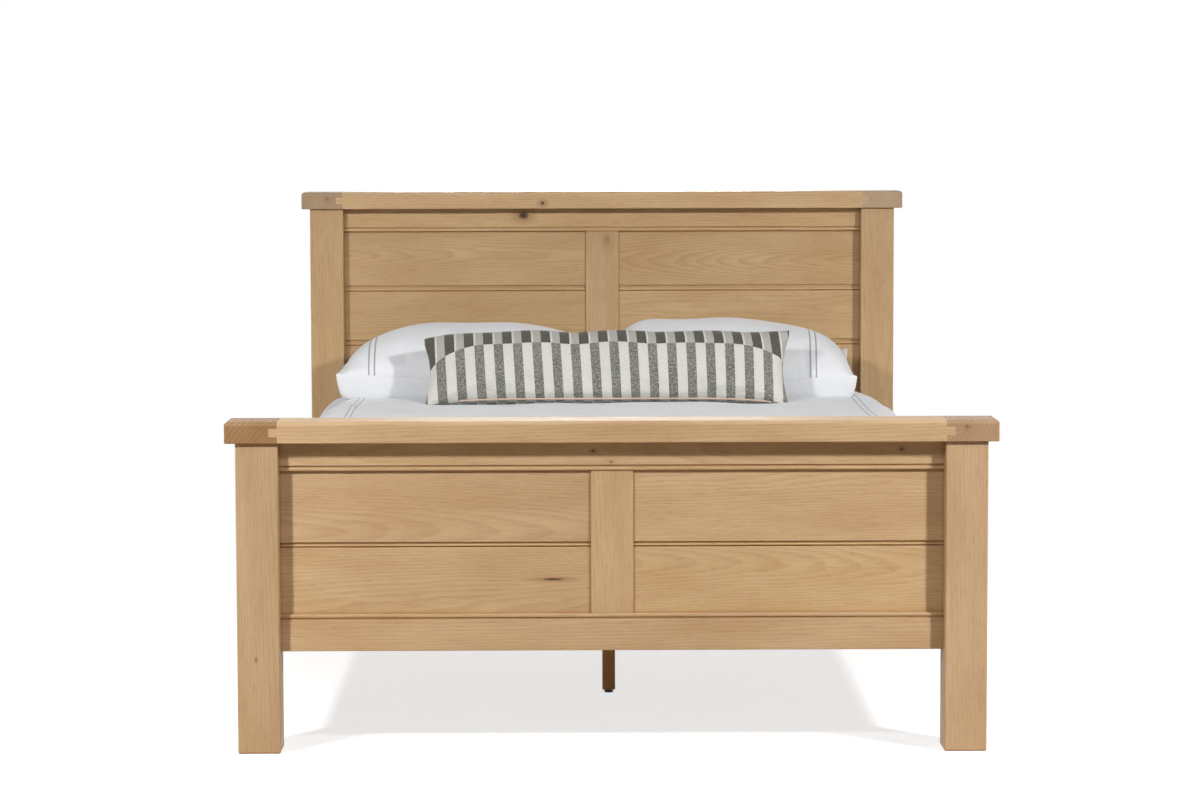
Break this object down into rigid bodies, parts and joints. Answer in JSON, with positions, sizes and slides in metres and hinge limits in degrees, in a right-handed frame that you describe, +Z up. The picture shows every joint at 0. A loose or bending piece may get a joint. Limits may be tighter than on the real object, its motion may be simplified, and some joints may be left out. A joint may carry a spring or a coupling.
{
  "type": "panel bed",
  "caption": "Panel bed in knotty oak with panelled headboard and low footboard, slatted base, mattress, duvet, pillows and long lumbar cushion.",
  "frame": {"origin": "centre of the footprint, on the floor", "axes": "+X across the bed to its right as seen from the foot, +Y from the foot to the head, +Z up"},
  "size_m": [1.634, 2.23, 1.145],
  "materials": {
    "oak": "oiled, knotty, fine grain",
    "oak_end_blocks": "oiled, darker cross-laid block",
    "slat_wood": "planed, unfinished",
    "support_wood": "planed, oiled",
    "bracket_steel": "black powder coat",
    "zinc_fixings": "zinc plated",
    "brass_inserts": "machined",
    "foot_plastic": "black, moulded",
    "mattress_cover": "quilted knit",
    "duvet_cover": "plain cotton",
    "pillow_covers": "plain cotton with two grey lines at the border",
    "cushion_stripe": "coarse weave, upright stripes"
  },
  "bodies": {
    "frame": {"bolts": "zinc_fixings", "centre_leg_1": "support_wood", "centre_leg_2": "support_wood", "centre_rail": "support_wood", "centre_rail_hangers": "bracket_steel", "corner_brackets": "bracket_steel", "foot_bottom_rail": "oak", "foot_cap_board": "oak", "foot_cap_end_left": "oak_end_blocks", "foot_cap_end_right": "oak_end_blocks", "foot_muntin": "oak", "foot_plank_1_left": "oak", "foot_plank_1_right": "oak", "foot_plank_2_left": "oak", "foot_plank_2_right": "oak", "foot_post_left": "oak", "foot_post_right": "oak", "foot_top_rail": "oak", "head_bottom_rail": "oak", "head_cap_board": "oak", "head_cap_end_left": "oak_end_blocks", "head_cap_end_right": "oak_end_blocks", "head_muntin": "oak", "head_plank_1_left": "oak", "head_plank_1_right": "oak", "head_plank_2_left": "oak", "head_plank_2_right": "oak", "head_plank_3_left": "oak", "head_plank_3_right": "oak", "head_plank_4_left": "oak", "head_plank_4_right": "oak", "head_post_left": "oak", "head_post_right": "oak", "head_top_rail": "oak", "leg_hanger_bolts": "zinc_fixings", "side_rail_left": "oak", "side_rail_right": "oak", "slat_01": "slat_wood", "slat_02": "slat_wood", "slat_03": "slat_wood", "slat_04": "slat_wood", "slat_05": "slat_wood", "slat_06": "slat_wood", "slat_07": "slat_wood", "slat_08": "slat_wood", "slat_09": "slat_wood", "slat_10": "slat_wood", "slat_11": "slat_wood", "slat_12": "slat_wood", "slat_ledger_left": "support_wood", "slat_ledger_right": "support_wood", "threaded_inserts": "brass_inserts", "wood_screws": "zinc_fixings"},
    "bedding": {"mattress": "mattress_cover", "duvet": "duvet_cover"},
    "left_pillow": {"pillow_left": "pillow_covers"},
    "right_pillow": {"pillow_right": "pillow_covers"},
    "cushion": {"lumbar_cushion": "cushion_stripe"},
    "foot_pad_1": {"levelling_foot_1": "foot_plastic"},
    "foot_pad_2": {"levelling_foot_2": "foot_plastic"}
  },
  "joints": [
    {"name": "mattress_lift", "type": "slide", "parent": "frame", "child": "bedding", "axis": [0, 0, 1], "range_m": [0, 0.42]},
    {"name": "left_pillow_lift", "type": "slide", "parent": "bedding", "child": "left_pillow", "axis": [0, 0, 1], "range_m": [0, 0.3]},
    {"name": "right_pillow_lift", "type": "slide", "parent": "bedding", "child": "right_pillow", "axis": [0, 0, 1], "range_m": [0, 0.3]},
    {"name": "cushion_lift", "type": "slide", "parent": "bedding", "child": "cushion", "axis": [0, 0, 1], "range_m": [0, 0.3]},
    {"name": "levelling_foot_1_adjust", "type": "slide", "parent": "frame", "child": "foot_pad_1", "axis": [0, 0, -1], "range_m": [-0.0015, 0.006]},
    {"name": "levelling_foot_2_adjust", "type": "slide", "parent": "frame", "child": "foot_pad_2", "axis": [0, 0, -1], "range_m": [-0.0015, 0.006]}
  ]
}
